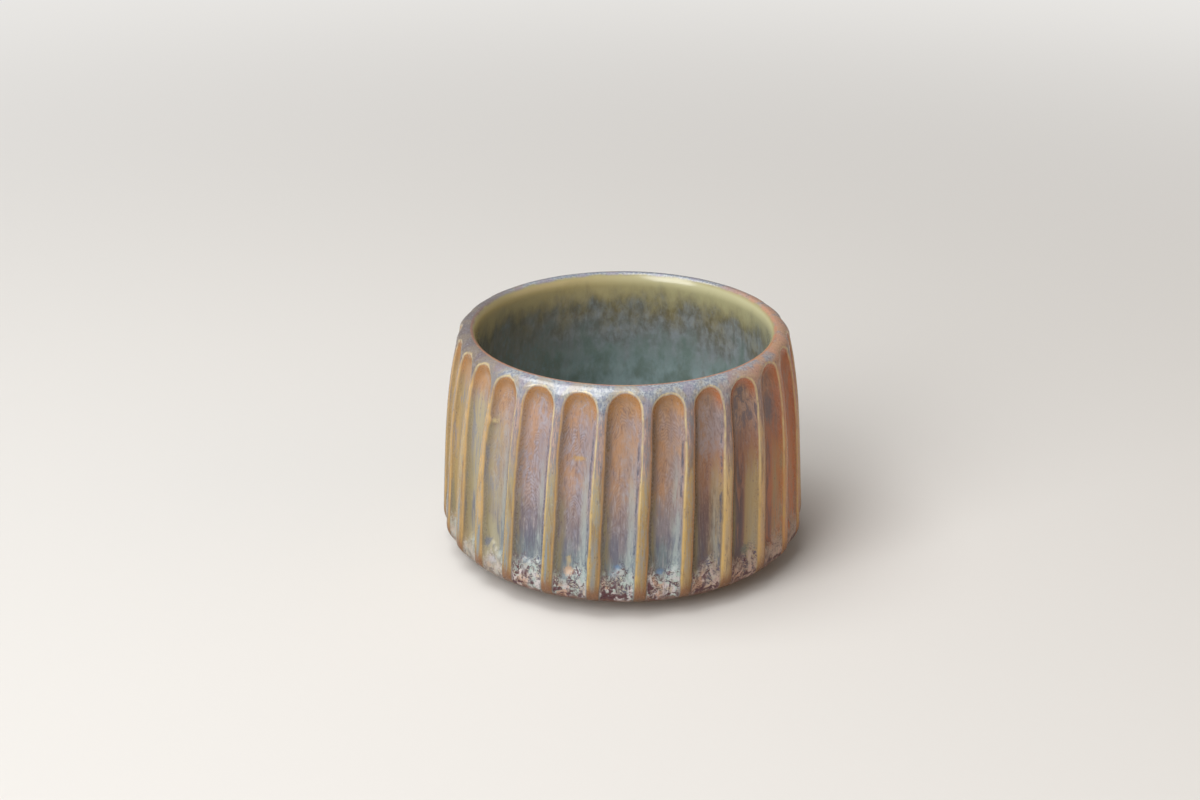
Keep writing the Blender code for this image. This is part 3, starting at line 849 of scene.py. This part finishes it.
    # Painted shade: dark olive on the wall of each flute that faces away from the light, deeper towards
    # the right
    olive = ramp(side, -0.1, -0.6) * ramp(stray, 2.2, 0.2)
    floor = paint(floor, fired(94, 78, 54), olive * (0.45 + warmth * 0.4))
    moss = ramp(side, -0.2, -0.7) * band(stray, 0.6, 1.9, 0.7)
    moss = moss * band(down, 11.0, 27.0, 5.0) * ramp(streak, 0.36, 0.56)
    floor = paint(floor, fired(146, 132, 84), moss * 0.7)
    crescent = ramp(edge, 2.6, 0.4) * ramp(z, 44.5, 49.0) * ramp(veil, 0.26, 0.46)
    tawny = paint(fired(176, 124, 68), fired(182, 106, 62), right)
    floor = paint(floor, tawny, crescent * (0.85 + right * 0.1))

    # Ridges between the flutes: mauve above, khaki below, with painted light on the left flank and painted
    # shade on the right one
    lip, lip_cloud = lip_glaze(bench, place)
    low = z + (cloud - 0.5) * 24.0 + (streak - 0.5) * 12.0
    mauve_top = paint(fired(182, 156, 144), fired(132, 110, 116), ramp(hair, 0.4, 0.62))
    dusky = ramp(streak, 0.4, 0.56) * (0.1 + warmth * 0.6)
    mauve_top = paint(mauve_top, fired(124, 104, 104), dusky)
    ridge = paint(fired(158, 134, 86), fired(166, 152, 118), ramp(low, 14.0, 28.0))
    ridge = paint(ridge, fired(196, 160, 102), left * ramp(cloud, 0.36, 0.56) * 0.8)
    ridge = paint(ridge, mauve_top, ramp(low, 27.0, 39.0) * (1.0 - left * 0.5))
    sandy = band(x, -36.0, -26.0, 2.0) * ramp(z, 10.0, 22.0)
    ridge = paint(ridge, fired(214, 176, 116), sandy * 0.55)
    # Golden lower ridges; the lighter tone towards the right is partly painted bounce light
    golden = paint(fired(178, 142, 84), fired(212, 178, 126), right)
    honeyed = ramp(x, -10.0, 12.0) * ramp(low, 42.0, 30.0)
    ridge = paint(ridge, golden, honeyed * (0.7 + right * 0.15))
    # Orange on the far right ridges: partly the glaze's own tone, partly painted orange bounce light
    ridge = paint(ridge, fired(208, 134, 78), far_right * 0.7)
    ashen = ramp(hair, 0.46, 0.58) * ramp(z, 8.0, 14.0)
    ridge = paint(ridge, fired(140, 148, 152), ashen * (0.5 - right * 0.3))
    brown = ramp(streak, 0.52, 0.64) * ramp(z, 44.0, 34.0)
    ridge = paint(ridge, fired(122, 92, 66), brown * 0.45)
    cold = band(z, 6.5, 19.0, 3.0) * band(bank, -0.6, 0.5, 0.3)
    cold = cold * ramp(streak, 0.38, 0.54)
    ridge = paint(ridge, fired(128, 144, 156), cold * (0.8 - warmth * 0.65))
    # Painted light: a lighter golden tone on the left flank of each ridge, which faces the light
    painted_light_flank = ramp(bank + (streak - 0.5) * 2.0, -0.2, -1.2) * ramp(low, 42.0, 26.0)
    ridge = paint(ridge, fired(200, 170, 106), painted_light_flank * (0.15 + ramp(swirl, 0.4, 0.6) * 0.4))
    # Painted shade: a darker brown tone on the right flank of each ridge, which faces away from the light
    shade = ramp(bank + (streak - 0.5) * 0.8, 0.2, 1.0) * ramp(z, 48.0, 36.0)
    ridge = paint(ridge, fired(148, 114, 82), shade * (0.3 + right * 0.3))
    toasted = ramp(z + (streak - 0.5) * 6.0, 9.5, 6.0)
    ridge = paint(ridge, fired(142, 96, 64), toasted * 0.9)
    ridge = paint(ridge, lip, ramp(z + (cloud - 0.5) * 10.0, 45.5, 49.5))
    smear = band(edge, -1.2, -0.2, 0.3) * ramp(z, 49.4, 50.6)
    smear = smear * ramp(lip_cloud, 0.38, 0.56)
    ridge = paint(ridge, fired(184, 168, 120), smear * (0.36 - left * 0.2 - right * 0.2))
    colour = paint(ridge, floor, ramp(edge, -0.1, 0.4))

    # Edges, where the glaze runs thin
    thin = band(edge + (streak - 0.5) * 0.6, -0.2, 0.1, 0.2) * ramp(z, 6.0, 10.0)
    arch = ramp(z, 46.5, 49.5)
    cream = thin * (ramp(side, -0.3, 0.2) + arch).held()
    gilt = paint(fired(208, 170, 98), fired(220, 198, 146), ramp(z, 18.0, 36.0))
    broken = ramp(hair, 0.4, 0.6) * 0.35 + ramp(swirl, 0.4, 0.56) * 0.35
    colour = paint(colour, gilt, cream * (0.3 + broken))
    rust = thin * ramp(side, -0.05, -0.5) * (1.0 - arch)
    umber = paint(fired(198, 158, 94), fired(188, 126, 72), warmth)
    colour = paint(colour, umber, rust * (0.55 + broken * 0.55))

    # Pools at the feet of the flutes: milky glass, flecked on one side and curled with maroon on the other
    veins = mottle(place, 1.3, 0.8, 2.0, 0.5, 0.8)
    loops = mottle(place, 2.4, 0.8, 2.0, 0.5, 1.2)
    lot, gap = bench.cells(place, 0.46)
    lively = 1.0 - left * 0.6
    milk = paint(fired(188, 200, 194), fired(216, 206, 206), ramp(swirl, 0.4, 0.58))
    milk = paint(milk, fired(206, 190, 158), ramp(veins, 0.46, 0.58) * 0.6)
    blush = ramp(loops, 0.48, 0.6) * ramp(side, 0.5, -0.3)
    milk = paint(milk, fired(204, 160, 132), blush * 0.8)
    milk = paint(milk, fired(164, 182, 178), ramp(run, 3.5, 0.5) * 0.6)
    milk = paint(milk, fired(190, 142, 110), right * 0.6)
    milk = paint(milk, fired(188, 180, 162), left * 0.6)
    inside = ramp(edge, 0.1, 0.6)
    below = run + ramp(side, -0.4, 0.6) * 1.5 - 0.6 - left * 2.0 + far_left * 2.5
    spread = ramp(below + (lot - 0.5) * 1.6 + (hair - 0.5) * 6.0, -1.2, 2.0)
    colour = paint(colour, milk, spread * inside)
    ink = paint(fired(84, 32, 46), fired(46, 46, 90), ramp(side, -0.6, 0.1))
    thick = ramp(veins, 0.4, 0.6) * 0.15 + ramp(below, 1.0, 5.0) * 0.03
    walls = ramp(gap, thick, thick * 0.5) * ramp(thick, 0.04, 0.09)
    walls = walls * ramp(swirl, 0.68, 0.54)
    specks = bench.flecks(place, 0.45, 0.8, 0.6) * ramp(side, -0.5, 0.1)
    dark = (walls * 0.9 + specks).held() * ramp(below, -3.0, 0.5)
    colour = paint(colour, ink, dark * inside * lively * (0.95 - far_right * 0.5))
    curls = band(loops + (grain - 0.5) * 0.06, 0.45, 0.485, 0.012) * ramp(below, -0.5, 1.0)
    lumps = ramp(loops, 0.45, 0.41) * ramp(side, 0.3, -0.2) * ramp(below, 0.5, 2.5)
    marks = (curls * ramp(veins, 0.36, 0.5) + lumps).held() * inside * lively
    colour = paint(colour, fired(84, 34, 48), marks * (0.95 - far_right * 0.4))
    rim = band(z + (swirl - 0.5) * 3.5, 4.9, 6.0, 0.4) * inside
    colour = paint(colour, fired(86, 38, 50), rim * ramp(veins, 0.36, 0.52) * lively * 0.9)
    hem = ramp(z + (swirl - 0.5) * 3.0, 4.9, 4.3) * inside
    colour = paint(colour, fired(122, 78, 62), hem * lively * 0.8)

    # Single daubs that the kiln left at the front
    for where, wide, tall, tint in (
        ((-1.0, -40.2, 12.3), 1.2, 0.8, (100, 134, 170)),
        ((8.0, -39.4, 11.0), 1.3, 0.9, (92, 124, 162)),
        ((-9.4, -37.9, 36.8), 2.2, 0.9, (196, 156, 84)),
        ((-26.2, -28.2, 46.2), 1.2, 1.0, (166, 184, 188)),
        ((-11.6, -38.6, 10.6), 1.5, 1.6, (206, 168, 132)),
        ((-11.6, -38.6, 13.2), 0.9, 1.8, (196, 172, 122)),
        ((27.0, -30.0, 11.4), 1.6, 1.8, (104, 116, 106)),
        ((31.8, -20.6, 41.4), 2.8, 5.0, (86, 92, 106)),
        ((-28.6, -26.8, 40.7), 2.4, 0.8, (206, 186, 136)),
        ((-29.8, -27.4, 11.8), 1.2, 1.6, (92, 100, 122)),
        ((-28.4, -28.6, 8.2), 1.8, 1.5, (194, 194, 202)),
    ):
        spot = bench.daub(place, where, wide, tall, grain) * ramp(edge, 0.2, 0.8)
        colour = paint(colour, fired(*tint), spot * 0.7)

    # Fine dark flecks over everything
    violet = bench.flecks(place, 0.6, 0.6, 0.3)
    colour = paint(colour, fired(84, 70, 84), violet * 0.5)

    # Gloss, fullest on the lip, over fine runs, grain and the beads of the pools
    bench.feed(shader.inputs["Base Color"], colour)
    bench.feed(shader.inputs["Roughness"], 0.15 + grain * 0.2 + ramp(edge, 0.0, 1.5) * 0.06)
    shader.inputs["IOR"].default_value = 1.55
    glossy = ramp(z, 48.6, 50.2)
    bench.feed(shader.inputs["Specular IOR Level"], 0.5 + glossy * 0.15)
    bench.feed(shader.inputs["Coat Weight"], 0.25 + glossy * 0.25)
    shader.inputs["Coat Roughness"].default_value = 0.1
    beads = ramp(gap, 0.0, 0.3) * ramp(below, -1.0, 1.0) * 0.5
    relief = (hair * 0.35 + grain * 0.25 + streak * 0.4) * (1.0 - glossy * 0.5)
    raised(bench, shader, relief + veil * 0.3 + beads, 0.12)
    return material


glaze_levels = lip_levels(GLAZE_COAT, 11)
glaze_levels += list(np.linspace(SHOULDER, FLUTE_STRAIGHT, 28))
glaze_levels += list(np.linspace(FLUTE_STRAIGHT, POOL_REACH, 30)[1:])
glaze_levels += list(np.linspace(POOL_REACH, BELLY, 18)[1:])
glaze_end = math.acos(BARE_HEEL / (HEEL_REACH + GLAZE_COAT))
glaze_levels += heel_levels(GLAZE_COAT, 17, glaze_end)
back_end = math.acos(BARE_HEEL / (HEEL_REACH + GLAZE_BACK))
back_levels = heel_levels(GLAZE_BACK, 4, back_end)[::-1]
back_levels += list(np.linspace(BELLY, FLUTE_STRAIGHT, 5))
back_levels += list(np.linspace(FLUTE_STRAIGHT, SHOULDER, 5)[1:])
back_levels += lip_levels(GLAZE_BACK, 3)[::-1]
glaze_rows = [(CREST_JOIN, CREST_TOP, GLAZE_COAT, 0.0)]
glaze_rows += outside_rows(glaze_levels, GLAZE_COAT)
glaze_rows += outside_rows(back_levels, GLAZE_BACK)
glaze_rows += [(CREST_JOIN, CLAY_HEIGHT + GLAZE_BACK, GLAZE_BACK, 0.0)]
coat = thrown("fluted_coat", glaze_rows, FLUTES * GLAZE_COLUMNS)
glaze_sizes = {
    "Ridge share of columns": GLAZE_RIDGE_COLUMNS / GLAZE_COLUMNS,
    "Pool thickness": POOL_THICKNESS,
}
carve(coat, carving, fluted_glaze(), glaze_sizes)
smoothed(coat, sharp=60.0)
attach(coat, "root")
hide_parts("outer_glaze")

# Table, light and camera
# A plain pale table top that fades into a backdrop of its own tone. A big soft window light stands at the
# upper left, a smaller one hangs overhead, and a weak warm card stands at the right, low down.
PALE = (1.0, 0.98, 0.95, 1.0)
PALE_LEVEL = 0.82
ROOM_LEVEL = 0.2
TABLE_REACH = 4.0
TABLE_SEEN = (0.74, 0.72, 0.69, 1.0)
TABLE_BOUNCE = (0.5, 0.47, 0.43, 1.0)
FADE_START = 150.0
FADE_END = 700.0
table = bpy.data.meshes.new("table")
corners = ((-1, -1), (1, -1), (1, 1), (-1, 1))
table.from_pydata([(TABLE_REACH * x, TABLE_REACH * y, 0.0) for x, y in corners], [], [(0, 1, 2, 3)])
floor = bpy.data.objects.new("table", table)
scene.collection.objects.link(floor)
matt = bpy.data.materials.new("pale table")
matt.use_nodes = True
table_bench = Bench(matt.node_tree)
paper = matt.node_tree.nodes["Principled BSDF"]
seen = Measure(table_bench, table_bench.node("ShaderNodeLightPath").outputs["Is Camera Ray"])
table_x, table_y = table_bench.parted(table_bench.place())[:2]
away = (table_x * table_x + table_y * table_y).root()
distant = seen * table_bench.ramp(away, FADE_START, FADE_END)
top = table_bench.paint(TABLE_BOUNCE, TABLE_SEEN, seen)
table_bench.feed(paper.inputs["Base Color"], table_bench.paint(top, (0.0, 0.0, 0.0, 1.0), distant))
paper.inputs["Emission Color"].default_value = PALE
table_bench.feed(paper.inputs["Emission Strength"], distant * PALE_LEVEL)
table_bench.feed(paper.inputs["Specular IOR Level"], 0.5 - distant * 0.5)
paper.inputs["Roughness"].default_value = 0.8
table.materials.append(matt)


CUP_MIDDLE = Vector((0.0, 0.0, 0.03))
WHITE = (1.0, 1.0, 1.0)
WARM = (1.0, 0.72, 0.5)


def window(name, place, wide, tall, power, tint):
    """A soft flat light that faces the cup."""
    lamp = bpy.data.lights.new(name, "AREA")
    lamp.shape = "RECTANGLE"
    lamp.size = wide
    lamp.size_y = tall
    lamp.energy = power
    lamp.color = tint
    light = bpy.data.objects.new(name, lamp)
    light.location = place
    light.rotation_euler = (CUP_MIDDLE - Vector(place)).to_track_quat("-Z", "Y").to_euler()
    scene.collection.objects.link(light)


window("window light", (-0.64, -0.78, 0.68), 0.75, 0.9, 11.0, WHITE)
window("overhead light", (-0.28, -0.06, 0.85), 0.6, 0.6, 5.0, WHITE)
window("warm card", (0.8, -0.25, 0.2), 0.8, 0.8, 1.5, WARM)
world = bpy.data.worlds.new("room")
world.use_nodes = True
room = Bench(world.node_tree)
sky = world.node_tree.nodes["Background"]
sky.inputs["Color"].default_value = PALE
facing = Measure(room, room.node("ShaderNodeLightPath").outputs["Is Camera Ray"])
room.feed(sky.inputs["Strength"], ROOM_LEVEL + facing * (PALE_LEVEL - ROOM_LEVEL))
scene.world = world
scene.view_settings.view_transform = "Standard"

# The camera looks down at the cup from the front
CAMERA_STAND = (0.0, -0.418953, 0.21806)
lens = bpy.data.cameras.new("camera")
lens.lens = 60.0
lens.sensor_width = 36.0
camera = bpy.data.objects.new("camera", lens)
across = Vector((0.9999, 0.0125, -0.0003))
upward = Vector((-0.0047, 0.4023, 0.9155))
turned = Matrix((across, upward, across.cross(upward))).transposed().to_4x4()
camera.matrix_world = Matrix.Translation(CAMERA_STAND) @ turned
scene.collection.objects.link(camera)
scene.camera = camera
